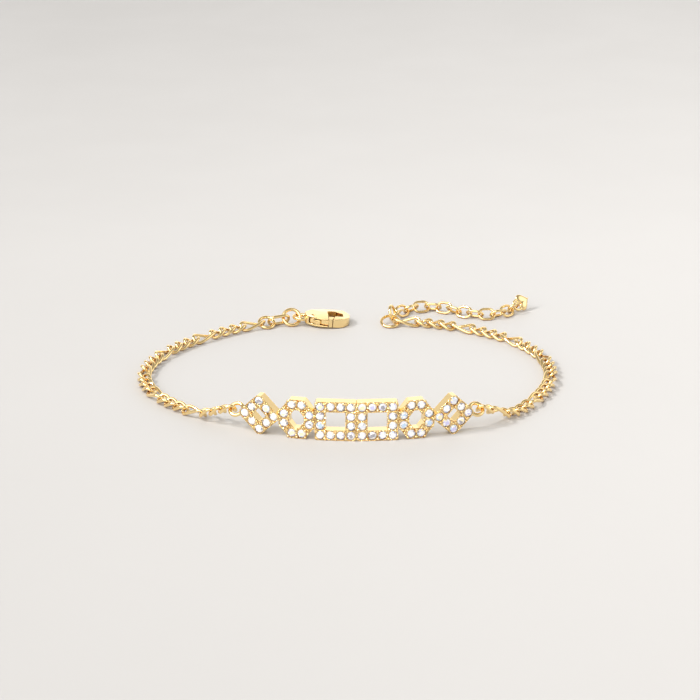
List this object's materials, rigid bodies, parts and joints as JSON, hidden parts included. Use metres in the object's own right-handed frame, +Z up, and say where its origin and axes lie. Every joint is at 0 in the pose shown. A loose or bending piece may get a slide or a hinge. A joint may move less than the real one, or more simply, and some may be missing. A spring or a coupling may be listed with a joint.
{
  "type": "nameplate bracelet",
  "caption": "Bracelet with a curved openwork plate set with small clear stones, fine Figaro chains, a lobster clasp and an extender chain ending in a small heart.",
  "frame": {"origin": "middle of the nameplate's foot, halfway through its thickness", "axes": "+X along the nameplate, to the right as its stones are seen; +Y from the nameplate towards the clasp; +Z up"},
  "size_m": [0.0566, 0.052, 0.0052],
  "materials": {
    "gold": "polished gold plating",
    "stones": "cut and polished"
  },
  "bodies": {
    "bracelet": {"nameplate": "gold", "pave_stones": "stones", "chain_left": "gold", "chain_right": "gold", "tail_ring": "gold", "tail_link": "gold", "clasp_ring": "gold", "clasp_body": "gold", "clasp_pin": "gold", "joint_ring": "gold", "extender_ring": "gold", "extender_chain": "gold", "charm_ring": "gold", "end_charm": "gold"},
    "lever": {"clasp_lever": "gold"}
  },
  "joints": [
    {"name": "clasp_lever_hinge", "type": "hinge", "parent": "bracelet", "child": "lever", "pos_m": [-0.00609, 0.04278, 0.00104], "axis": [0.0783, 0.0055, 0.9969], "range_deg": [0, 20], "stiffness_Nm_per_rad": 0.002}
  ]
}
